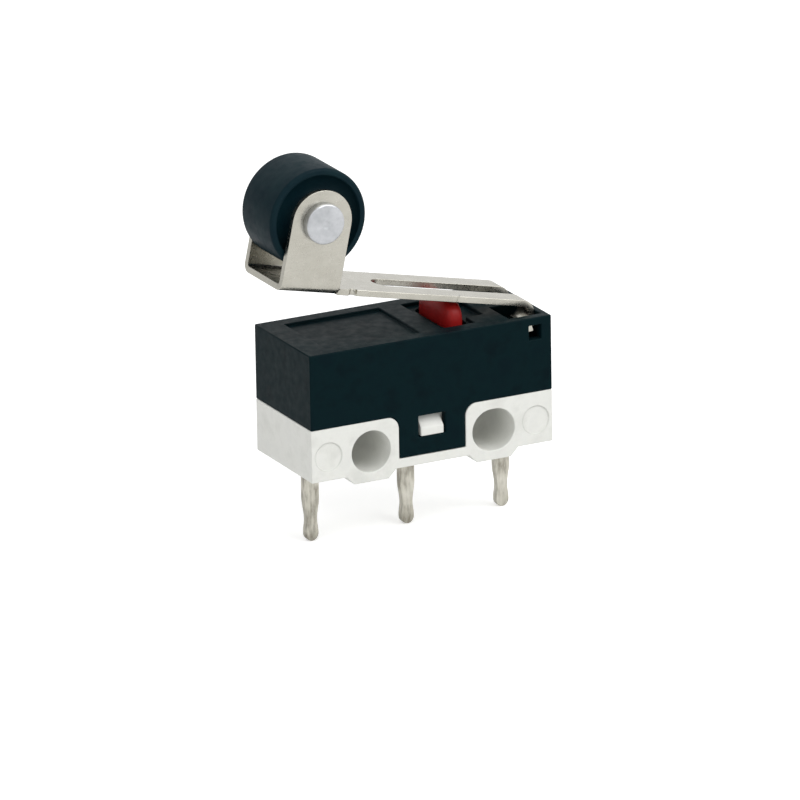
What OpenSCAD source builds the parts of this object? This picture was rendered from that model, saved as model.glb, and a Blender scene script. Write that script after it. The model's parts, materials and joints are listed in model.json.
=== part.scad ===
// Lever micro switch of the subminiature size, with a roller on the end of its lever.
// X runs along the housing towards the lever's hinge, Y from front to back, and Z up.
// The origin is midway between the axes of the two mounting holes, at mid-depth.
// The lever is drawn free, at rest: the plunger is up and the snap spring is on its upper contact.

/* [Housing] */
// Length of the housing
housing_length = 12.8; // [12.6:0.1:15.6]
// Depth of the housing, front to back
housing_depth = 5.8; // [5.4:0.1:7.2]
// Height of the housing, from its standoff lugs to the top of the cover
housing_height = 6.7; // [6.6:0.1:8.2]
// Height of the base, from the standoff lugs to the joint with the cover
base_height = 3.0; // [2.8:0.1:3.2]
// Thickness of the cover's front and back walls
side_wall = 0.5; // [0.4:0.05:0.6]
// Thickness of the cover's end walls
end_wall = 0.35; // [0.3:0.05:0.45]
// Thickness of the cover's roof
roof = 0.5; // [0.4:0.05:0.6]
// Depth of the bare sunken panel on the roof
panel_depth = 0.15; // [0.05:0.05:0.25]

/* [Snap joint of cover and base] */
// Width of the tongue that each long wall of the cover hangs over the base
tongue_width = 3.5; // [3:0.1:4]
// Length of the tongue below the joint
tongue_drop = 2.1; // [1.9:0.1:2.4]
// Radius of the corner between tongue and wall
tongue_corner = 0.6; // [0.2:0.1:0.8]
// Width of the latch nub that the tongue's window snaps over
nub_width = 1.2; // [0.9:0.1:1.6]
// Height of the latch nub
nub_height = 0.9; // [0.6:0.1:1.1]

/* [Mounting holes] */
// Distance between the mounting holes
hole_pitch = 6.5; // [6.2:0.1:7]
// Diameter of the mounting holes
hole_d = 2.05; // [1.7:0.05:2.2]
// Extra width of the oval hole nearest the hinge
hole_slot = 0.2; // [0:0.05:0.4]
// Height of the hole axes above the standoff lugs
hole_height = 1.5; // [1.45:0.05:1.7]
// Height of the standoff lugs
lug_height = 0.42; // [0.2:0.02:0.5]
// Width of a lug where it rests on the board
lug_width = 1.8; // [1:0.1:2]

/* [Terminals] */
// Distance between neighbouring terminal pins
pin_pitch = 5.08; // [5:0.02:5.2]
// Width of a pin
pin_width = 0.78; // [0.6:0.02:0.9]
// Thickness of the terminals' sheet
terminal_t = 0.4; // [0.3:0.05:0.5]
// Length of the pins below the standoff lugs
pin_length = 3.45; // [3:0.05:4.5]
// Width of a pin's neck, which grips the board
neck_width = 0.54; // [0.4:0.02:0.6]
// Width of the terminals' flat arms
arm_width = 1.8; // [1.6:0.1:2.4]

/* [Lever] */
// Tilt of the free lever above the roof, in degrees
lever_tilt = 12.4; // [8:0.2:14]
// Thickness of the lever's sheet
sheet_t = 0.3; // [0.2:0.02:0.36]
// Width of the lever's strip
strip_width = 3.7; // [3.2:0.1:4]
// Width of the slot along the strip
slot_width = 1.3; // [1:0.1:1.6]
// Distance from the hinge axis to the closed end of the slot
slot_reach = 7.4; // [5:0.1:8.5]
// Distance of the hinge axis from the housing's end
hinge_inset = 1.0; // [0.9:0.05:1.2]
// Depth of the hinge axis below the roof's top
hinge_drop = 0.6; // [0.5:0.01:0.7]
// Outer radius of the curl at the foot of each leg
curl_r = 0.66; // [0.55:0.01:0.75]
// Distance of the hinge ears' ends inside the housing's faces
ear_inset = 0.25; // [0.1:0.05:0.35]

/* [Roller] */
// Diameter of the roller
roller_d = 5.0; // [3.6:0.1:6]
// Width of the roller
roller_width = 3.1; // [2.6:0.1:3.7]
// Diameter of the pin that the roller turns on
roller_pin_d = 1.2; // [0.8:0.1:1.4]
// Distance of the roller's axis from the hinge axis, along the strip
roller_reach = 11.72; // [10.5:0.01:14]
// Gap between the roller and the fork's floor
roller_gap = 0.66; // [0.2:0.02:1.2]
// Radius of the fork's round ears
fork_r = 1.55; // [1.2:0.05:1.8]

/* [Plunger] */
// Distance of the plunger from the origin towards the hinge
plunger_x = 2.0; // [1.9:0.05:2.3]
// Size of the plunger along the housing
plunger_length = 1.16; // [0.9:0.02:1.4]
// Size of the plunger across the housing
plunger_width = 3.3; // [2.6:0.05:3.6]

/* [Snap mechanism] */
// Distance of the contacts from the origin, away from the hinge
contact_x = 3.7; // [3.5:0.05:3.8]
// Gap between the moving contact and the open contact
contact_gap = 0.4; // [0.3:0.05:0.5]
// Diameter of the contacts' heads
contact_d = 0.85; // [0.6:0.05:1]
// Height of a contact's head
contact_h = 0.2; // [0.1:0.05:0.25]
// Thickness of the snap spring's strip
spring_t = 0.1; // [0.06:0.02:0.14]
// Width of the snap spring
spring_width = 2.6; // [2.2:0.1:3]
// Height of the bow in the spring's tongue
tongue_bow = 0.25; // [0.1:0.05:0.35]

/* [Clearances] */
// Clearance between pieces that are pressed or moulded together
seat_gap = 0.02; // [0.01:0.01:0.04]
// Clearance around the plunger, on each side
plunger_gap = 0.05; // [0.03:0.01:0.08]
// Clearance between the roller and each ear of its fork
roller_side_gap = 0.1; // [0.05:0.05:0.2]
// Clearance between the roller's bore and its pin, on each side
running_gap = 0.05; // [0.03:0.01:0.08]
// Clearance between pieces that rest on each other and move apart
touch_gap = 0.01; // [0.01:0.01:0.02]

/* [Hidden] */
$fn = 64;
past = 1; // how far a cut runs past a face
lap = 0.02; // how far a shape runs into the one it is joined to

// Colours of the materials
cover_black = [0.05, 0.13, 0.16];
base_white = [0.91, 0.91, 0.89];
plunger_red = [0.6, 0.07, 0.07];
roller_black = [0.06, 0.11, 0.13];
steel = [0.78, 0.77, 0.73];
tin = [0.78, 0.77, 0.72];
beryllium_copper = [0.78, 0.55, 0.3];
silver = [0.85, 0.85, 0.84];

// Levels and half sizes of the housing
half_l = housing_length / 2;
half_d = housing_depth / 2;
lug_z = -hole_height;
base_z = lug_z + lug_height;
joint_z = lug_z + base_height;
top_z = lug_z + housing_height;
roof_z = top_z - roof;
cavity_y = half_d - side_wall;
cavity_x = half_l - end_wall;
core_y = cavity_y - seat_gap;
tongue_z = joint_z - tongue_drop;

// The base's rim inside the cover, and the tray that the terminals' arms lie in
rim_height = 0.5;
rim_wall = 0.4;
tray_depth = 0.1;
floor_z = joint_z - tray_depth;

// The snap joint: nub and window
nub_z = tongue_z + 0.9;
nub_flat = 0.4; // height of the nub's upright face
nub_root = 0.2; // how deep the nub's root reaches into the base
window_side = 0.12; // window's clearance beside the nub
window_over = 0.12; // window's clearance above the nub

// Round marks that the ejector pins leave on the base's front
mark_d = 1.4;
mark_inset = 0.9;
mark_depth = 0.06;
mark_z = 0.1;

// Levels of the snap mechanism, from the base's floor up
open_plate_z = floor_z;
open_contact_z = open_plate_z + terminal_t;
spring_z = open_contact_z + contact_h + contact_gap + contact_h;
closed_contact_z = spring_z + spring_t + contact_h + touch_gap;
closed_plate_z = closed_contact_z + contact_h;
rivet_d = 0.4; // shank of each contact
moving_d = contact_d - 0.05;

// Places of the snap mechanism, along the housing
anchor_x = plunger_x + 2.45; // spring's pull on the anchor post
fulcrum_x = plunger_x - 1.25; // face of the tab that the spring's tongue pushes on
spring_end_x = anchor_x + 0.45;
spring_tip_x = -contact_x - 0.6;
tongue_root_x = -contact_x + 0.8;
tab_width = 0.7; // anchor post and fulcrum tab
groove_depth = 0.12; // seats in the post and the tab
groove_height = 0.18;
fulcrum_z = spring_z + spring_t / 2 - 0.3; // mid-height of the seat of the spring's tongue
spring_rail = 0.6; // width of each of the spring's two rails
spring_tongue = 0.9; // width of the spring's tongue
post_top_z = spring_z + spring_t + 0.4;
tab_top_z = fulcrum_z + 0.15;

// The lever, in its own frame: the hinge axis is its origin, and the strip runs towards -X
hinge_x = half_l - hinge_inset;
hinge_z = top_z - hinge_drop;
curl_mid_r = curl_r - sheet_t / 2;
ear_angle = 165; // middle of the hinge ear, round the curl from its top
ear_arc = 30; // stretch of the curl that the ear takes
ear_reach = half_d - ear_inset;
curl_cx = -curl_mid_r * sin(ear_angle);
curl_cz = -curl_mid_r * cos(ear_angle);
strip_top = curl_cz + curl_r;
strip_low = strip_top - sheet_t;
roller_rise = strip_top + roller_gap + roller_d / 2;
fork_width = roller_width + 2 * (roller_side_gap + sheet_t);
fork_bend_r = sheet_t + 0.15; // outside radius
fork_end = roller_reach + fork_r;
fork_hollow = 0.12; // how far the end of the fork's floor curves in
relief_d = 0.4; // notches that part the fork's bends from the strip
relief_x = roller_reach - fork_r - 0.8;
nick_x = 3.7; // small nick that the punch leaves on the front rail
nick = 0.08;

// The hinge pockets in the roof, and the windows that the ears sit in
pocket_start = hinge_x - 1;
pocket_end = half_l - 0.3;
pocket_floor = hinge_z - 0.75;
pocket_wall = 0.3;
pocket_rib = 0.8; // bridge between the pockets
window_width = 0.66;
window_height = 0.72;
window_x = hinge_x + 0.14;
window_low = hinge_z - 0.5;

// The plunger: its round top touches the underside of the tilted strip
tip_r = plunger_length / 2;
tip_z = hinge_z + (strip_low - tip_r - 2 * touch_gap + (hinge_x - plunger_x) * sin(lever_tilt)) / cos(lever_tilt);
shoulder_r = 0.9; // rounding of the plunger's top towards its ends
plunger_corner = 0.35;
flange_out = 0.28; // how far the flange stands out under the roof
flange_height = 0.5;
flange_top_z = roof_z - 2 * touch_gap;
foot_length = 0.9;
foot_width = 2.4;

// Pin of a terminal: heights up from its tip
pin_tip_z = lug_z - pin_length;
tip_round = 0.35;
tip_half = 0.33; // half width of the bulge at the tip
tip_bulge = 0.45;
neck_height = 1.05;
shoulder_height = 2.15;

// ---------------------------------------------------------------- shared shapes

// A shape drawn in X and Z, made solid over a width in Y
module across(width, y = 0) {
    translate([0, y, 0])
        rotate([90, 0, 0])
            linear_extrude(width, center = true)
                children();
}

// A shape drawn in Y and Z, made solid over a length in X
module along(length, x = 0) {
    translate([x, 0, 0])
        rotate([90, 0, 90])
            linear_extrude(length, center = true)
                children();
}

// A box between two heights, centred on the XZ plane or on a given Y
module slab(x0, x1, width, z0, z1, y = 0) {
    translate([x0, y - width / 2, z0])
        cube([x1 - x0, width, z1 - z0]);
}

// A rectangle with round corners
module rounded(length, width, r) {
    square([length - 2 * r, width], center = true);
    square([length, width - 2 * r], center = true);
    for (x = [-1, 1], y = [-1, 1])
        translate([x * (length / 2 - r), y * (width / 2 - r)])
            circle(r);
}

// A trough's section: flat floor, upright sides and round lower corners
module trough(half, low, r, high) {
    translate([r - half, low])
        square([2 * (half - r), high - low]);
    translate([-half, low + r])
        square([2 * half, high - low - r]);
    for (side = [-1, 1])
        translate([side * (half - r), low + r])
            circle(r);
}

// A stretch of the curl at the lever's foot, between two angles from its top
module curl_section(from, to) {
    reach = 2 * curl_r;
    middle = (from + to) / 2;
    translate([curl_cx, curl_cz])
        intersection() {
            difference() {
                circle(curl_r);
                circle(curl_r - sheet_t);
            }
            polygon([[0, 0], reach * [sin(from), cos(from)], 2 * reach * [sin(middle), cos(middle)],
                     reach * [sin(to), cos(to)]]);
        }
}

// A long loop round the curl's axis: flat above and below, round at the hinge end
module strip_loop(r, length) {
    translate([-length, curl_cz - r])
        square([length + curl_cx, 2 * r]);
    translate([curl_cx, curl_cz])
        circle(r);
}

// Side view of the strip, with the curl at its foot
module strip_section() {
    length = roller_reach - fork_r;
    difference() {
        strip_loop(curl_r, length);
        strip_loop(curl_r - sheet_t, length + past);
        translate([-length - past, curl_cz - curl_r - past])
            square([length + past + curl_cx, curl_r + past]);
    }
}

// Places a shape of the lever's own frame on the switch
module on_lever() {
    translate([hinge_x, 0, hinge_z])
        rotate([0, lever_tilt, 0])
            children();
}

// ---------------------------------------------------------------- housing

// One end block of the base, as seen from the front: its inner top corner is round
module end_block(edge, corner) {
    difference() {
        translate([edge, base_z])
            square([half_l - edge, joint_z - base_z]);
        translate([edge - past, joint_z - corner])
            square([past + corner, past + corner]);
    }
    translate([edge, joint_z - corner])
        intersection() {
            translate([corner, 0])
                circle(corner);
            square(corner);
        }
}

// Standoff lug under a mounting hole
module lug() {
    polygon([[-lug_width / 2 - lug_height, base_z], [-lug_width / 2, lug_z],
             [lug_width / 2, lug_z], [lug_width / 2 + lug_height, base_z]]);
}

// The base as seen from the front, with the place of the cover's tongue left open
module base_front() {
    edge = tongue_width / 2 + seat_gap;
    for (side = [0, 1])
        mirror([side, 0])
            end_block(edge, tongue_corner);
    translate([-edge, base_z])
        square([2 * edge, tongue_z - seat_gap - base_z]);
    for (side = [-1, 1])
        translate([side * hole_pitch / 2, 0])
            lug();
}

// Latch nub: flat underneath, ramped on top, flush with the cover's wall
module latch_nub() {
    along(nub_width)
        polygon([[core_y - nub_root, nub_z], [half_d, nub_z], [half_d, nub_z + nub_flat],
                 [core_y, nub_z + nub_height], [core_y - nub_root, nub_z + nub_height]]);
}

// Mounting hole through the base, round or widened along X
module mounting_hole(extra) {
    across(housing_depth + 2 * past) {
        for (side = [-1, 1])
            translate([side * extra / 2, 0])
                circle(d = hole_d);
        if (extra > 0)
            square([extra, hole_d], center = true);
    }
}

module base() {
    rim_x = cavity_x - seat_gap;
    color(base_white)
        difference() {
            union() {
                across(housing_depth)
                    base_front();
                slab(-half_l, half_l, 2 * core_y, base_z, joint_z);
                slab(-rim_x, rim_x, 2 * core_y, joint_z, joint_z + rim_height);
                for (side = [0, 1])
                    mirror([0, side, 0])
                        latch_nub();
            }
            slab(rim_wall - rim_x, rim_x - rim_wall, 2 * (core_y - rim_wall), floor_z, top_z);
            translate([-hole_pitch / 2, 0, 0])
                mounting_hole(0);
            translate([hole_pitch / 2, 0, 0])
                mounting_hole(hole_slot);
            for (place = [-1, 0, 1])
                slab(place * pin_pitch - pin_width / 2 - seat_gap, place * pin_pitch + pin_width / 2 + seat_gap,
                     terminal_t + 2 * seat_gap, lug_z - past, top_z);
            for (side = [-1, 1])
                translate([side * (half_l - mark_inset), mark_depth - half_d, mark_z])
                    rotate([90, 0, 0])
                        cylinder(d = mark_d, h = past);
        }
}

// The outline of the cover's front and back walls
module wall_front() {
    edge = tongue_width / 2;
    translate([-half_l, joint_z])
        square([housing_length, top_z - joint_z]);
    translate([-edge, tongue_z])
        square([tongue_width, top_z - tongue_z]);
    for (side = [0, 1])
        mirror([side, 0])
            translate([edge, joint_z - tongue_corner])
                difference() {
                    square(tongue_corner);
                    translate([tongue_corner + seat_gap, 0])
                        circle(tongue_corner + seat_gap);
                }
}

// Pockets for the lever's two legs, with the windows for its ears
module hinge_pockets() {
    pocket = cavity_y - pocket_rib / 2;
    for (side = [-1, 1]) {
        slab(pocket_start, pocket_end, pocket, pocket_floor, top_z + past, side * (pocket_rib + pocket) / 2);
        slab(window_x - window_width / 2, window_x + window_width / 2, side_wall + past,
             window_low, window_low + window_height, side * half_d);
    }
}

module plunger_opening() {
    translate([plunger_x, 0, roof_z - past])
        linear_extrude(roof + 2 * past)
            rounded(plunger_length + 2 * plunger_gap, plunger_width + 2 * plunger_gap,
                    plunger_corner + plunger_gap);
}

module cover() {
    recess_depth = 0.2;
    recess_start = plunger_x - plunger_length / 2 - 0.45;
    recess_middle = plunger_x + plunger_length / 2 + 0.15;
    recess_end = recess_middle + 0.95;
    recess_width = plunger_width + 0.9;
    narrow_width = 2.3;
    panel_end = recess_start - 1.15;
    panel_start = panel_end - 5;
    panel_width = housing_depth - 1.5;
    color(cover_black)
        difference() {
            union() {
                for (side = [-1, 1])
                    across(side_wall, side * (half_d - side_wall / 2))
                        wall_front();
                for (side = [0, 1])
                    mirror([side, 0, 0])
                        slab(cavity_x, half_l, housing_depth, joint_z, top_z);
                slab(-half_l, half_l, housing_depth, roof_z, top_z);
                slab(pocket_start - pocket_wall, half_l, housing_depth, pocket_floor - pocket_wall, top_z);
            }
            slab(panel_start, panel_end, panel_width, top_z - panel_depth, top_z + past);
            slab(recess_start, recess_middle, recess_width, top_z - recess_depth, top_z + past);
            slab(recess_start, recess_end, narrow_width, top_z - recess_depth, top_z + past);
            plunger_opening();
            hinge_pockets();
            slab(-nub_width / 2 - window_side, nub_width / 2 + window_side, housing_depth + past,
                 nub_z - seat_gap, nub_z + nub_height + window_over);
        }
}

// ---------------------------------------------------------------- terminals and fixed contacts

// Half width of a pin at a height above its tip
function pin_half(h) =
    h < tip_round ? tip_half * sqrt(1 - pow(1 - h / tip_round, 2)) :
    h < tip_bulge ? tip_half :
    h < neck_height ? blend(tip_half, neck_width / 2, (h - tip_bulge) / (neck_height - tip_bulge)) :
    h < shoulder_height ? blend(neck_width / 2, pin_width / 2, (h - neck_height) / (shoulder_height - neck_height)) :
    pin_width / 2;

// Smooth step from one value to another as t goes from 0 to 1
function blend(from, to, t) = from + (to - from) * (1 - cos(180 * t)) / 2;

// Heights at which the pin's outline has its points
pin_heights = [
    for (i = [0:8]) tip_round * (1 - cos(90 * i / 8)),
    for (i = [0:20]) tip_bulge + (shoulder_height - tip_bulge) * i / 20
];

// A pin that hangs down from a flat arm: the sheet folds down at the arm's edge
module pin(x, arm_z) {
    right = [for (h = pin_heights) [x + pin_half(h), pin_tip_z + h]];
    left = [for (i = [len(pin_heights) - 1:-1:1]) [x - pin_half(pin_heights[i]), pin_tip_z + pin_heights[i]]];
    across(terminal_t)
        polygon(concat(right, [[x + pin_width / 2, arm_z], [x - pin_width / 2, arm_z]], left));
    along(pin_width, x)
        translate([terminal_t / 2, arm_z])
            intersection() {
                circle(terminal_t);
                translate([-terminal_t, 0])
                    square(terminal_t);
            }
}

// A flat arm from one place to another, cut away on one side where its pin folds down
module arm(x0, x1, pin_x) {
    relief = 0.08;
    difference() {
        translate([x0, -arm_width / 2])
            square([x1 - x0, arm_width]);
        translate([pin_x - pin_width / 2 - relief, -arm_width])
            square([pin_width + 2 * relief, arm_width + terminal_t / 2]);
    }
}

// Hole in an arm for the shank of its contact
module rivet_hole() {
    translate([-contact_x, 0])
        circle(d = rivet_d + 2 * touch_gap);
}

// Arm of a terminal: a drawn shape as thick as the terminals' sheet
module flat(z) {
    translate([0, 0, z])
        linear_extrude(terminal_t)
            children();
}

// The common terminal carries the spring: it hooks on a post and pushes on a tab
module common_terminal() {
    arm_end = pin_pitch + pin_width / 2;
    post_x0 = anchor_x - terminal_t;
    lance_length = post_top_z - open_contact_z;
    color(tin) {
        pin(pin_pitch, open_plate_z);
        difference() {
            flat(open_plate_z)
                arm(fulcrum_x, arm_end, pin_pitch);
            slab(post_x0 - lance_length, post_x0, tab_width, open_plate_z - past, open_contact_z + past);
        }
        difference() {
            slab(post_x0, anchor_x, tab_width, open_contact_z - terminal_t / 2, post_top_z);
            slab(anchor_x - groove_depth, anchor_x + past, tab_width + past,
                 spring_z + (spring_t - groove_height) / 2, spring_z + (spring_t + groove_height) / 2);
        }
        difference() {
            slab(fulcrum_x, fulcrum_x + terminal_t, tab_width + 0.4, open_contact_z - terminal_t / 2, tab_top_z);
            slab(fulcrum_x - past, fulcrum_x + groove_depth, tab_width + past,
                 fulcrum_z - groove_height / 2, fulcrum_z + groove_height / 2);
        }
    }
}

module normally_open_terminal() {
    color(tin) {
        pin(0, open_plate_z);
        flat(open_plate_z)
            difference() {
                arm(-contact_x - 0.65, pin_width / 2, 0);
                rivet_hole();
            }
    }
}

module normally_closed_terminal() {
    color(tin) {
        pin(-pin_pitch, closed_plate_z);
        flat(closed_plate_z)
            difference() {
                arm(-pin_pitch - pin_width / 2, 0.6 - contact_x, -pin_pitch);
                rivet_hole();
            }
    }
}

// A contact rivet: head down from z when the direction is -1, up when it is 1
module contact(z, direction) {
    translate([-contact_x, 0, z])
        mirror([0, 0, direction < 0 ? 1 : 0]) {
            cylinder(d = contact_d, h = contact_h);
            translate([0, 0, -terminal_t])
                cylinder(d = rivet_d, h = terminal_t + contact_h / 2);
        }
}

module open_contact() {
    color(silver)
        contact(open_contact_z, 1);
}

module closed_contact() {
    color(silver)
        contact(closed_plate_z, -1);
}

// ---------------------------------------------------------------- moving snap mechanism

// The spring's blank: a frame of two rails round a window, narrowed at its contact end
module spring_frame() {
    half = spring_width / 2;
    pad = contact_d / 2 + 0.25;
    difference() {
        polygon([[spring_tip_x, -pad], [spring_tip_x, pad], [tongue_root_x - 0.5, half],
                 [spring_end_x, half], [spring_end_x, -half], [tongue_root_x - 0.5, -half]]);
        translate([tongue_root_x, spring_rail - half])
            square([anchor_x - 0.6 - tongue_root_x, spring_width - 2 * spring_rail]);
        translate([anchor_x - groove_depth + seat_gap - terminal_t, -tab_width / 2 - 2 * seat_gap])
            square([terminal_t, tab_width + 4 * seat_gap]);
        translate([-contact_x, 0])
            circle(d = rivet_d + 2 * touch_gap);
    }
}

// Mid-height of the spring's tongue as t goes from its root, 0, to its tip, 1
function tongue_mid(t) = spring_z + spring_t / 2 + (fulcrum_z - spring_z - spring_t / 2) * t + tongue_bow * sin(180 * t);

module spring_tongue_strip() {
    tip_x = fulcrum_x + groove_depth - seat_gap;
    steps = 16;
    upper = [for (i = [0:steps]) [tongue_root_x + (tip_x - tongue_root_x) * i / steps,
                                  tongue_mid(i / steps) + spring_t / 2]];
    lower = [for (i = [steps:-1:0]) upper[i] - [0, spring_t]];
    across(spring_tongue)
        polygon(concat([[tongue_root_x - lap, spring_z + spring_t]], upper, lower, [[tongue_root_x - lap, spring_z]]));
}

module snap_spring() {
    color(beryllium_copper) {
        translate([0, 0, spring_z])
            linear_extrude(spring_t)
                spring_frame();
        spring_tongue_strip();
    }
}

// The moving contact has a head on each side of the spring
module moving_contact() {
    color(silver)
        translate([-contact_x, 0, spring_z - contact_h]) {
            cylinder(d = moving_d, h = contact_h);
            cylinder(d = rivet_d, h = 2 * contact_h + spring_t);
            translate([0, 0, contact_h + spring_t])
                cylinder(d = moving_d, h = contact_h);
        }
}

// ---------------------------------------------------------------- plunger and lever

module plunger() {
    flange_low_z = flange_top_z - flange_height;
    foot_z = spring_z + spring_t + touch_gap;
    color(plunger_red)
        translate([plunger_x, 0, 0]) {
            intersection() {
                across(plunger_width) {
                    translate([-tip_r, flange_low_z])
                        square([plunger_length, tip_z - flange_low_z]);
                    translate([0, tip_z])
                        circle(tip_r);
                }
                rotate([0, 0, 90])
                    across(plunger_length) {
                        half = plunger_width / 2;
                        top = tip_z + tip_r;
                        translate([-half, flange_low_z])
                            square([plunger_width, top - shoulder_r - flange_low_z]);
                        translate([shoulder_r - half, flange_low_z])
                            square([plunger_width - 2 * shoulder_r, top - flange_low_z]);
                        for (side = [-1, 1])
                            translate([side * (half - shoulder_r), top - shoulder_r])
                                circle(shoulder_r);
                    }
                translate([0, 0, flange_low_z])
                    linear_extrude(top_z)
                        rounded(plunger_length, plunger_width, plunger_corner);
            }
            translate([0, 0, flange_low_z])
                linear_extrude(flange_height)
                    rounded(plunger_length + 2 * flange_out, plunger_width + 2 * flange_out, plunger_corner);
            across(foot_width) {
                translate([-foot_length / 2, foot_z + foot_length / 2])
                    square([foot_length, flange_low_z + flange_height / 2 - foot_z - foot_length / 2]);
                translate([0, foot_z + foot_length / 2])
                    circle(d = foot_length);
            }
        }
}

// The fork at the lever's end: a floor with two ears bent up, round about the roller's pin
module fork() {
    half = fork_width / 2;
    intersection() {
        across(fork_width) {
            translate([-fork_end, strip_low])
                square([2 * fork_r, roller_rise - strip_low]);
            translate([-roller_reach, roller_rise])
                circle(fork_r);
        }
        along(2 * fork_r, -roller_reach)
            difference() {
                trough(half, strip_low, fork_bend_r, roller_rise + 2 * fork_r);
                trough(half - sheet_t, strip_top, fork_bend_r - sheet_t, roller_rise + 3 * fork_r);
            }
    }
}

module lever() {
    hollow_r = (pow(fork_width / 2, 2) + pow(fork_hollow, 2)) / (2 * fork_hollow);
    leg_width = (strip_width - slot_width) / 2;
    color(steel)
        on_lever()
            difference() {
                union() {
                    across(strip_width)
                        strip_section();
                    // joins the strip to the fork's floor, between the fork's bends
                    across(strip_width - 2 * fork_bend_r)
                        translate([-roller_reach, strip_low])
                            square([2 * fork_r, sheet_t]);
                    for (side = [-1, 1])
                        across(ear_reach - slot_width / 2 - leg_width / 2,
                               side * (ear_reach + slot_width / 2 + leg_width / 2) / 2)
                            curl_section(ear_angle - ear_arc / 2, ear_angle + ear_arc / 2);
                    fork();
                }
                // slot between the two rails, open at the hinge end
                translate([0, 0, -curl_r])
                    linear_extrude(3 * curl_r) {
                        translate([slot_width / 2 - slot_reach, 0])
                            circle(d = slot_width);
                        translate([slot_width / 2 - slot_reach, -slot_width / 2])
                            square([slot_reach + curl_r, slot_width]);
                    }
                // relief notches beside the fork
                for (side = [-1, 1])
                    translate([-relief_x, side * strip_width / 2, 0])
                        cylinder(d = relief_d, h = 2 * strip_top);
                translate([-nick_x, -strip_width / 2, 0])
                    cylinder(d = nick, h = 2 * strip_top);
                // hollow end of the fork's floor
                translate([fork_hollow - fork_end - hollow_r, 0, strip_low - past])
                    cylinder(r = hollow_r, h = sheet_t + past, $fn = 256);
                // holes for the roller's pin
                translate([-roller_reach, 0, roller_rise])
                    rotate([90, 0, 0])
                        cylinder(d = roller_pin_d + 2 * touch_gap, h = 2 * fork_width, center = true);
            }
}

module roller() {
    rim_r = roller_d / 2;
    edge = 0.15; // rounding of the rim
    web_depth = 0.3; // sunken ring in each face
    web_outer = rim_r - 0.5;
    hub_r = roller_pin_d / 2 + 0.35;
    color(roller_black)
        on_lever()
            translate([-roller_reach, 0, roller_rise])
                rotate([90, 0, 0])
                    rotate_extrude()
                        difference() {
                            union() {
                                translate([0, -roller_width / 2])
                                    square([rim_r - edge, roller_width]);
                                translate([0, edge - roller_width / 2])
                                    square([rim_r, roller_width - 2 * edge]);
                                for (side = [-1, 1])
                                    translate([rim_r - edge, side * (roller_width / 2 - edge)])
                                        circle(edge);
                            }
                            translate([-past, -roller_width])
                                square([past + roller_pin_d / 2 + running_gap, 2 * roller_width]);
                            for (side = [0, 1])
                                mirror([0, side])
                                    translate([hub_r, roller_width / 2 - web_depth])
                                        square([web_outer - hub_r, web_depth + past]);
                        }
}

// The roller's pin: a broad head on the front ear, and an end that is riveted over the back one
module roller_pin() {
    head_d = 1.96;
    head_h = 0.4;
    rivet_head_d = 1.6;
    rivet_head_h = 0.2;
    dimple_d = 0.46;
    front = fork_width / 2;
    color(steel)
        on_lever()
            translate([-roller_reach, 0, roller_rise])
                rotate([90, 0, 0])
                    difference() {
                        union() {
                            translate([0, 0, -front])
                                cylinder(d = roller_pin_d, h = fork_width);
                            translate([0, 0, front])
                                cylinder(d = head_d, h = head_h);
                            translate([0, 0, -front - rivet_head_h])
                                cylinder(d = rivet_head_d, h = rivet_head_h);
                        }
                        translate([0, 0, front + head_h - dimple_d / 4])
                            cylinder(d = dimple_d, h = past);
                    }
}

base();
cover();
common_terminal();
normally_open_terminal();
normally_closed_terminal();
open_contact();
closed_contact();
snap_spring();
moving_contact();
plunger();
lever();
roller();
roller_pin();
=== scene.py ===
"""Looks of the lever micro switch: finished surfaces on every piece, floor, studio light and camera."""

import json
import math

import bmesh
import bpy
from mathutils import Matrix, Vector

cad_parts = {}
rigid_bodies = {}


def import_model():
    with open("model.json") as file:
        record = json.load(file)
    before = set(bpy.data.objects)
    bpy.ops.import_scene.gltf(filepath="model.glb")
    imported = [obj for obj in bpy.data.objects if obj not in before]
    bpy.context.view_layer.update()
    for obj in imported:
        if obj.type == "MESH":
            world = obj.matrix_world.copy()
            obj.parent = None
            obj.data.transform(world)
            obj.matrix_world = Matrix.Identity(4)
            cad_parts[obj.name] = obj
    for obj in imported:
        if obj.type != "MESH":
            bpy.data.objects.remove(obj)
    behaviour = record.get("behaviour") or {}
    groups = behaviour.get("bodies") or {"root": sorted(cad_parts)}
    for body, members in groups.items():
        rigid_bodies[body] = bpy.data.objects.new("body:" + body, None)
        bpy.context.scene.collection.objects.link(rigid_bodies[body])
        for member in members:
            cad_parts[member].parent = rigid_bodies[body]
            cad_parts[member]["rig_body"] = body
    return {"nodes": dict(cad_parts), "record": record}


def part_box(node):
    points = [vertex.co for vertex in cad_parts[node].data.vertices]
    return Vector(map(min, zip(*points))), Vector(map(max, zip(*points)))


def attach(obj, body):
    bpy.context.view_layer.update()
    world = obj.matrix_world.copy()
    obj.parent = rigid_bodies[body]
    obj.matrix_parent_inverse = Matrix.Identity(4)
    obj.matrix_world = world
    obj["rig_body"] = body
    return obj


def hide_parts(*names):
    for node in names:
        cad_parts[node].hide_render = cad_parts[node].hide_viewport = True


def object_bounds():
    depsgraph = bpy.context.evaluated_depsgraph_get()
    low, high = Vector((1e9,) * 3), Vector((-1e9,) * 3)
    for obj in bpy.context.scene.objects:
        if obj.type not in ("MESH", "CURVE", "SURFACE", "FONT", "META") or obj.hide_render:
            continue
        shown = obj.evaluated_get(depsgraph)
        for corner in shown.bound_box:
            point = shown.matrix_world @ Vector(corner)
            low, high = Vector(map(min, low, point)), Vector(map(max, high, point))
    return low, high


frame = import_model()
cad_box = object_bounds()

MM = 0.001  # every length below is written in millimetres and multiplied by this

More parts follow.
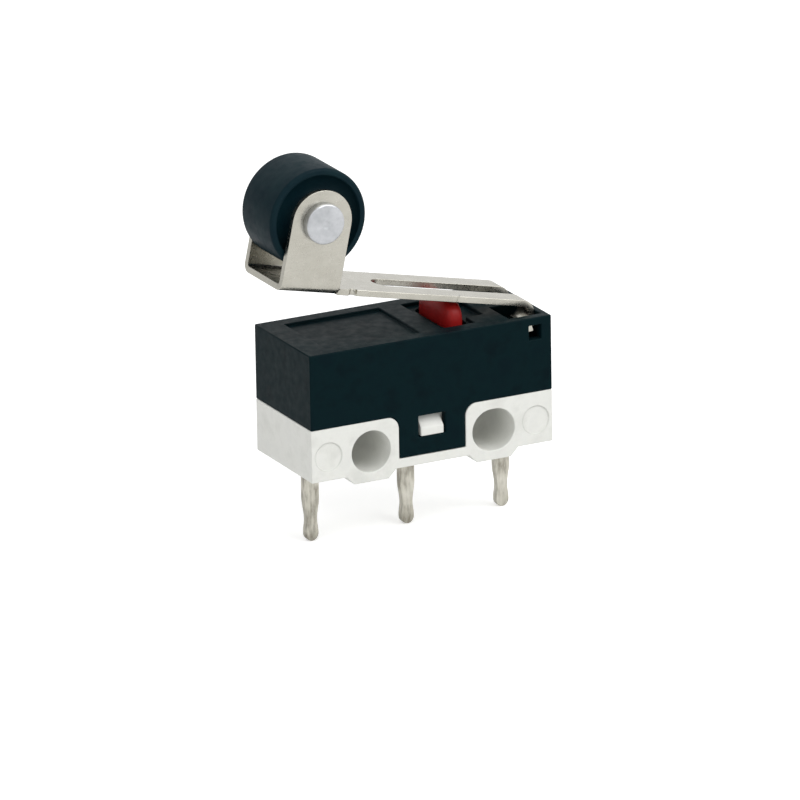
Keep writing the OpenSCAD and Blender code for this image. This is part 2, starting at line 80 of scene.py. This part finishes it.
# The camera: a long lens that looks down on the front and on the end away from the hinge
CAMERA_AZIMUTH = 26.93
CAMERA_ELEVATION = 18.41
CAMERA_ROLL = -0.97
CAMERA_DISTANCE = 502 * MM
CAMERA_LENS = 476.6  # as a camera states it, in millimetres
SENSOR_WIDTH = 36
AIM_RIGHT = -0.22 * MM
AIM_UP = 1.12 * MM

# Facets that meet at less than this are one smooth surface; the rest are edges, and get rounded
EDGE_ANGLE = math.radians(28)

# Points nearer than this are one point, and facets that meet at less than this are one flat face
WELD = 0.0001 * MM
FLAT_ANGLE = math.radians(0.4)

# Most of a noise's values lie between the first two, and most of two mixed noises' between the others
NOISE_RANGE = (0.3, 0.7)
MIXED_RANGE = (0.34, 0.66)


# ---------------------------------------------------------------- materials


class Nodes:
    """Short way to build the node tree of a material or of the world."""

    def __init__(self, owner, output="OutputMaterial"):
        owner.use_nodes = True
        self.owner = owner
        self.tree = owner.node_tree
        self.tree.nodes.clear()
        self.output = self.add(output)

    def add(self, kind, **values):
        """A node of that kind; values set its properties, or its inputs by name with spaces as _"""
        node = self.tree.nodes.new("ShaderNode" + kind)
        for key, value in values.items():
            if hasattr(node, key):
                setattr(node, key, value)
            else:
                self.feed(node.inputs[key.replace("_", " ")], value)
        return node

    def feed(self, socket, value):
        """Links an output to the socket, or sets the socket's own value"""
        if isinstance(value, bpy.types.NodeSocket):
            self.tree.links.new(value, socket)
        else:
            socket.default_value = value

    def noise(self, scale_mm, stretch=(1, 1, 1), detail=3.0, roughness=0.5, offset=(0, 0, 0)):
        """Noise from 0 to 1 whose features are about scale_mm long, stretched along X, Y and Z"""
        place = self.add("TexCoord").outputs["Object"]
        size = [1 / (MM * scale_mm * s) for s in stretch]
        mapping = self.add("Mapping", Vector=place, Scale=size, Location=offset)
        values = {"Scale": 1.0, "Detail": detail, "Roughness": roughness}
        noise = self.add("TexNoise", Vector=mapping.outputs[0], **values)
        return noise.outputs["Fac"]

    def math(self, operation, *values):
        """Result of a Math node"""
        node = self.add("Math", operation=operation)
        for socket, value in zip(node.inputs, values):
            self.feed(socket, value)
        return node.outputs[0]

    def seen(self, ray):
        """1 for that kind of ray, such as Is Camera Ray, else 0"""
        return self.add("LightPath").outputs[ray]

    def between(self, fac, span, colours):
        """Colour ramp: the first colour where fac is below the span, the last where it is over it"""
        low, high = span
        ramp = self.add("ValToRGB", Fac=fac)
        elements = ramp.color_ramp.elements
        while len(elements) < len(colours):
            elements.new(0.5)
        for i, colour in enumerate(colours):
            elements[i].position = low + (high - low) * i / (len(colours) - 1)
            elements[i].color = (*colour, 1)
        return ramp.outputs["Color"]

    def spread(self, fac, low, high, span=NOISE_RANGE):
        """fac, which runs over the span, spread out from low to high"""
        spread = self.add("MapRange", Value=fac)
        for socket, value in zip(spread.inputs[1:5], (*span, low, high)):
            socket.default_value = value
        return spread.outputs["Result"]

    def bump(self, height, depth_mm, under=None):
        """Bump whose full height is depth_mm, laid over another bump if there is one"""
        bump = self.add("Bump", Height=height, Distance=depth_mm * MM, Strength=1.0)
        if under:
            self.feed(bump.inputs["Normal"], under)
        return bump.outputs["Normal"]

    def end_in(self, shader):
        """Ends the tree in that shader, and returns the material or world that it belongs to"""
        self.feed(self.output.inputs["Surface"], shader.outputs[0])
        return self.owner

    def surface(self, **values):
        """Ends the tree in a Principled shader"""
        return self.end_in(self.add("BsdfPrincipled", **values))


def moulded_plastic(name, colours, rough, **more):
    """Moulded plastic: faint clouds in its colour, a fine satin grain and slow waves in its faces"""
    cloud_mm = 1.1
    rough_mm = 0.4
    grain_mm = 0.05
    grain_depth = 0.004
    wave_mm = 2.2
    wave_depth = 0.015
    n = Nodes(bpy.data.materials.new(name))
    clouds = n.noise(cloud_mm, detail=5, roughness=0.6)
    waves = n.bump(n.noise(wave_mm, detail=1), wave_depth)
    return n.surface(
        Base_Color=n.between(clouds, NOISE_RANGE, colours),
        Roughness=n.spread(n.noise(rough_mm, detail=3), *rough),
        Normal=n.bump(n.noise(grain_mm, detail=2), grain_depth, under=waves),
        **more,
    )


def sheet_metal(name, colours, rough, mottle_mm=0.3, stretch=(1, 1, 1), dent_depth=0.006):
    """Sheet metal: a mottled tone drawn out along the rolling direction, fine grain and shallow dents"""
    cloud_mm = 1.4
    cloud_offset = (3, 7, 1)
    cloud_share = 0.5
    rough_mm = 0.35
    grain_mm = 0.05
    grain_depth = 0.0005
    dent_mm = 0.8
    n = Nodes(bpy.data.materials.new(name))
    mottle = n.noise(mottle_mm, stretch=stretch, detail=4, roughness=0.6)
    clouds = n.noise(cloud_mm, detail=2, offset=cloud_offset)
    mottle_part = n.math("MULTIPLY", mottle, 1 - cloud_share)
    tone = n.math("MULTIPLY_ADD", clouds, cloud_share, mottle_part)
    dents = n.bump(n.noise(dent_mm, detail=2), dent_depth)
    grain = n.noise(grain_mm, stretch=stretch, detail=2)
    return n.surface(
        Base_Color=n.between(tone, MIXED_RANGE, colours),
        Metallic=1.0,
        Roughness=n.spread(n.noise(rough_mm, detail=3), *rough),
        Normal=n.bump(grain, grain_depth, under=dents),
    )


# By slot: colours are linear, and the pair after them is the least and the greatest roughness
MATERIALS = {
    "base_plastic": moulded_plastic(
        "off_white_plastic",
        [(0.67, 0.675, 0.635), (0.75, 0.755, 0.715), (0.71, 0.715, 0.68)],
        (0.42, 0.55),
        Specular_IOR_Level=0.4,
    ),
    "cover_plastic": moulded_plastic(
        "black_plastic",
        [(0.0003, 0.006, 0.0085), (0.0006, 0.0095, 0.012), (0.0004, 0.0075, 0.0105)],
        (0.38, 0.52),
        Specular_IOR_Level=0.05,
    ),
    "plunger_plastic": moulded_plastic(
        "red_plastic",
        [(0.24, 0.006, 0.006), (0.31, 0.01, 0.009)],
        (0.36, 0.46),
        Specular_IOR_Level=0.2,
    ),
    "roller_plastic": moulded_plastic(
        "roller_plastic",
        [(0.002, 0.012, 0.018), (0.004, 0.018, 0.023)],
        (0.42, 0.55),
        Specular_IOR_Level=0.07,
    ),
    "lever_steel": sheet_metal(
        "lever_steel", [(0.46, 0.445, 0.39), (0.54, 0.525, 0.465)], (0.22, 0.33), stretch=(3, 1, 1)
    ),
    "pin_steel": sheet_metal("pin_steel", [(0.44, 0.455, 0.47), (0.6, 0.61, 0.63)], (0.3, 0.42)),
    "tinned_terminal": sheet_metal(
        "tinned_terminal",
        [(0.24, 0.22, 0.18), (0.56, 0.54, 0.47), (0.72, 0.7, 0.63)],
        (0.3, 0.5),
        mottle_mm=0.16,
        stretch=(1, 1, 4),
        dent_depth=0.02,
    ),
    "contact_silver": sheet_metal("contact_silver", [(0.7, 0.7, 0.68), (0.8, 0.8, 0.78)], (0.25, 0.35)),
    "spring_copper": sheet_metal("spring_copper", [(0.55, 0.3, 0.12), (0.66, 0.38, 0.16)], (0.25, 0.35)),
}


# ---------------------------------------------------------------- pieces


def placed(node, mesh, *modifiers):
    """Links a mesh as the visible piece for a CAD node, in the node's material and on its body"""
    slot = next(part["material_slot"] for part in frame["record"]["subparts"] if part["node"] == node)
    for face in mesh.faces:
        face.smooth = True
    data = bpy.data.meshes.new(node + "_finish")
    mesh.to_mesh(data)
    mesh.free()
    data.materials.append(MATERIALS[slot])
    piece = bpy.data.objects.new(node + "_finish", data)
    bpy.context.scene.collection.objects.link(piece)
    for kind, settings in modifiers:
        modifier = piece.modifiers.new(kind.lower(), kind)
        for key, value in settings.items():
            setattr(modifier, key, value)
    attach(piece, frame["nodes"][node]["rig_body"])
    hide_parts(node)


def cad_mesh(node, weld=WELD):
    """A copy of a CAD node's mesh with its doubled points welded and its flat faces in one piece"""
    mesh = bmesh.new()
    mesh.from_mesh(frame["nodes"][node].data)
    bmesh.ops.remove_doubles(mesh, verts=mesh.verts, dist=weld)
    bmesh.ops.dissolve_limit(
        mesh, angle_limit=FLAT_ANGLE, verts=mesh.verts, edges=mesh.edges, use_dissolve_boundaries=False
    )
    return mesh


def rounded_piece(node, edge_mm, weld=WELD):
    """The CAD node's own shape with its edges rounded"""
    bevel = {
        "width": edge_mm * MM,
        "segments": 3,
        "limit_method": "ANGLE",
        "angle_limit": EDGE_ANGLE,
        "use_clamp_overlap": False,
        "loop_slide": False,
    }
    placed(node, cad_mesh(node, weld), ("BEVEL", bevel), ("WEIGHTED_NORMAL", {"keep_sharp": True}))


def plunger():
    """Plunger: its flange and foot as in the CAD, and above the roof a pillow with no flat or edge"""
    flange_out = 0.28 * MM
    sunk = 0.25 * MM
    squareness = 3.1
    around = 64
    rings_up = 14
    voxel = 0.04 * MM
    smoothings = 14
    low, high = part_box("plunger")
    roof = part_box("cover")[1].z
    middle = (low + high) / 2
    half_x = (high.x - low.x) / 2 - flange_out
    half_y = (high.y - low.y) / 2 - flange_out
    base_z = roof - 2 * sunk
    dome_z = roof - sunk
    mesh = cad_mesh("plunger")
    bmesh.ops.bisect_plane(
        mesh,
        geom=mesh.verts[:] + mesh.edges[:] + mesh.faces[:],
        plane_co=(0, 0, base_z),
        plane_no=(0, 0, 1),
        clear_outer=True,
    )
    bmesh.ops.holes_fill(mesh, edges=[edge for edge in mesh.edges if edge.is_boundary])

    def rounded(value):
        return math.copysign(abs(value) ** (2 / squareness), value)

    def pillow_ring(z, size):
        ring = []
        for i in range(around):
            angle = math.tau * i / around
            x = middle.x + half_x * size * rounded(math.cos(angle))
            y = middle.y + half_y * size * rounded(math.sin(angle))
            ring.append(mesh.verts.new((x, y, z)))
        return ring

    rings = [pillow_ring(base_z - sunk, 1.0)]
    for k in range(rings_up):
        rise = math.pi / 2 * k / rings_up
        z = dome_z + (high.z - dome_z) * rounded(math.sin(rise))
        rings.append(pillow_ring(z, rounded(math.cos(rise))))
    for ring, following in zip(rings, rings[1:]):
        for i in range(around):
            j = (i + 1) % around
            mesh.faces.new((ring[i], ring[j], following[j], following[i]))
    mesh.faces.new(rings[0])
    mesh.faces.new(rings[-1])
    bmesh.ops.recalc_face_normals(mesh, faces=mesh.faces)
    remesh = {"mode": "VOXEL", "voxel_size": voxel, "use_smooth_shade": True}
    placed("plunger", mesh, ("REMESH", remesh), ("SMOOTH", {"factor": 0.5, "iterations": smoothings}))


def arc(radius, y, r, start, end, steps=6):
    """Points of a profile's round corner, with its middle at (radius, y), between two angles in degrees"""
    angles = [math.radians(start + (end - start) * i / steps) for i in range(steps + 1)]
    return [(radius + r * math.cos(a), y + r * math.sin(a)) for a in angles]


def turned(node, profile_mm, middle):
    """A turned piece: (radius, Y) points in millimetres, turned round a line along Y through middle"""
    segments = 128
    mesh = bmesh.new()
    rings = []
    for radius, y in profile_mm:
        ring = []
        for i in range(segments if radius > 0 else 1):
            angle = math.tau * i / segments
            offset = Vector((radius * math.cos(angle), y, radius * math.sin(angle))) * MM
            ring.append(mesh.verts.new(middle + offset))
        rings.append(ring)
    bored = profile_mm[0][0] > 0
    next_rings = rings[1:] + rings[:1] if bored else rings[1:]
    for ring, following in zip(rings, next_rings):
        for i in range(segments):
            corners = [ring[i % len(ring)], ring[(i + 1) % len(ring)]]
            corners += [following[(i + 1) % len(following)], following[i % len(following)]]
            mesh.faces.new(dict.fromkeys(corners))
    bmesh.ops.recalc_face_normals(mesh, faces=mesh.faces)
    placed(node, mesh, ("WEIGHTED_NORMAL", {"keep_sharp": True}))


def roller():
    """Roller: bored, with a sunken ring in each face and soft edges"""
    bore_r = 0.65
    hub_r = 0.95
    rim_width = 0.32
    ring_depth = 0.4
    rim_soft = 0.16
    soft = 0.05
    soft_steps = 3
    low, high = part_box("roller")
    rim_r = (high.x - low.x) / 2 / MM
    half = (high.y - low.y) / 2 / MM
    ring_r = rim_r - rim_width
    one_side = (
        [(bore_r, half - soft), (bore_r + soft, half)]
        + arc(hub_r - soft, half - soft, soft, 90, 0, soft_steps)
        + [(hub_r, half - ring_depth), (ring_r, half - ring_depth)]
        + arc(ring_r + soft, half - soft, soft, 180, 90, soft_steps)
        + arc(rim_r - rim_soft, half - rim_soft, rim_soft, 90, 0)
    )
    other_side = [(radius, -y) for radius, y in reversed(one_side)]
    turned("roller", one_side + other_side, (low + high) / 2)


def roller_pin():
    """Roller's pin: broad head with a shallow dished mark in front, shank, and riveted end at the back"""
    head_h = 0.4
    shank_r = 0.6
    rivet_r = 0.8
    rivet_h = 0.2
    soft = 0.09
    mark_flat_r = 0.1
    mark_r = 0.28
    mark_depth = 0.03
    mark_steps = 6
    low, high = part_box("roller_pin")
    middle = Vector(((low.x + high.x) / 2, 0, (low.z + high.z) / 2))
    head_r = (high.x - low.x) / 2 / MM
    front = low.y / MM
    back = high.y / MM
    mark = [(0, front + mark_depth)]
    for i in range(mark_steps + 1):
        radius = mark_flat_r + (mark_r - mark_flat_r) * i / mark_steps
        mark.append((radius, front + mark_depth * (1 + math.cos(math.pi * i / mark_steps)) / 2))
    profile = (
        mark
        + arc(head_r - soft, front + soft, soft, -90, 0)
        + [(head_r, front + head_h), (shank_r, front + head_h)]
        + [(shank_r, back - rivet_h), (rivet_r, back - rivet_h)]
        + arc(rivet_r - soft, back - soft, soft, 0, 90)
        + [(0, back)]
    )
    turned("roller_pin", profile, middle)


# Width of the rounded edges in millimetres
LEVER_EDGE = 0.02
EDGES = {
    "base": 0.05,
    "cover": 0.06,
    "common_terminal": 0.05,
    "normally_open_terminal": 0.05,
    "normally_closed_terminal": 0.05,
    "open_contact": 0.03,
    "closed_contact": 0.03,
    "snap_spring": 0.02,
    "moving_contact": 0.03,
}

# Points of the lever's bends nearer than this are one point, or rounding its edges would fold them over
LEVER_WELD = 0.02 * MM

for node, edge in EDGES.items():
    rounded_piece(node, edge)
rounded_piece("lever", LEVER_EDGE, weld=LEVER_WELD)
plunger()
roller()
roller_pin()


# ---------------------------------------------------------------- stage, light and camera


def floor_material():
    """Pale floor: white to the camera where nothing shades it, and it keeps the object's soft shadow"""
    pale = (0.9, 0.9, 0.9, 1)
    camera_lift = 0.42
    glossy_lift = 0.1
    n = Nodes(bpy.data.materials.new("pale_floor"))
    lift = n.math("MULTIPLY", n.seen("Is Camera Ray"), camera_lift)
    lift = n.math("MULTIPLY_ADD", n.seen("Is Glossy Ray"), glossy_lift, lift)
    shaders = (n.add("BsdfDiffuse", Color=pale), n.add("Emission", Color=(1, 1, 1, 1), Strength=lift))
    both = n.add("AddShader")
    for socket, shader in zip(both.inputs, shaders):
        n.feed(socket, shader.outputs[0])
    return n.end_in(both)


def floor(low_z):
    """A round floor under the object's lowest point"""
    radius = 3.0
    sides = 64
    mesh = bmesh.new()
    bmesh.ops.create_circle(mesh, cap_ends=True, radius=radius, segments=sides)
    data = bpy.data.meshes.new("floor")
    mesh.to_mesh(data)
    mesh.free()
    data.materials.append(floor_material())
    piece = bpy.data.objects.new("floor", data)
    piece.location = (0, 0, low_z)
    bpy.context.scene.collection.objects.link(piece)


def world_light(strength, dark_side):
    """An even pale studio, white to the camera; reflections see it fade to dark_side at the left"""
    fade_x = (-0.85, -0.1)
    n = Nodes(bpy.data.worlds.new("studio"), "OutputWorld")
    direction = n.add("SeparateXYZ", Vector=n.add("TexCoord").outputs["Generated"])
    fade = n.spread(direction.outputs["X"], dark_side - strength, 1 - strength, span=fade_x)
    level = n.math("MULTIPLY_ADD", n.seen("Is Camera Ray"), 1 - strength, strength)
    level = n.math("MULTIPLY_ADD", n.seen("Is Glossy Ray"), fade, level)
    background = n.add("Background", Color=(1, 1, 1, 1), Strength=level)
    bpy.context.scene.world = n.end_in(background)


def soft_lamp(name, place_mm, size_mm, watts):
    """A square soft box that faces the object's middle"""
    data = bpy.data.lights.new(name, "AREA")
    data.size = size_mm * MM
    data.energy = watts
    lamp = bpy.data.objects.new(name, data)
    lamp.location = Vector(place_mm) * MM
    lamp.rotation_euler = (-lamp.location).to_track_quat("-Z", "Y").to_euler()
    bpy.context.scene.collection.objects.link(lamp)


def camera():
    """The camera, turned by its azimuth, elevation and roll about the object's middle"""
    azimuth = math.radians(CAMERA_AZIMUTH)
    elevation = math.radians(CAMERA_ELEVATION)
    roll = math.radians(CAMERA_ROLL)
    ahead = Vector((math.sin(azimuth), math.cos(azimuth), 0))
    forward = math.cos(elevation) * ahead - Vector((0, 0, math.sin(elevation)))
    level = Vector((math.cos(azimuth), -math.sin(azimuth), 0))
    raised = level.cross(forward)
    right = math.cos(roll) * level + math.sin(roll) * raised
    up = math.cos(roll) * raised - math.sin(roll) * level
    data = bpy.data.cameras.new("camera")
    data.lens = CAMERA_LENS
    data.sensor_width = SENSOR_WIDTH
    data.clip_start = 0.01
    data.clip_end = 10
    obj = bpy.data.objects.new("camera", data)
    place = AIM_RIGHT * right + AIM_UP * up - CAMERA_DISTANCE * forward
    turn = Matrix((right, up, -forward)).transposed().to_4x4()
    obj.matrix_world = Matrix.Translation(place) @ turn
    bpy.context.scene.collection.objects.link(obj)
    bpy.context.scene.camera = obj


camera()
floor(cad_box[0].z)
world_light(strength=0.5, dark_side=0.3)
soft_lamp("key", place_mm=(150, -200, 230), size_mm=300, watts=0.7)
soft_lamp("fill", place_mm=(-220, -120, 160), size_mm=240, watts=0.2)
soft_lamp("top", place_mm=(0, 40, 320), size_mm=220, watts=0.12)
bpy.context.scene.view_settings.view_transform = "Standard"
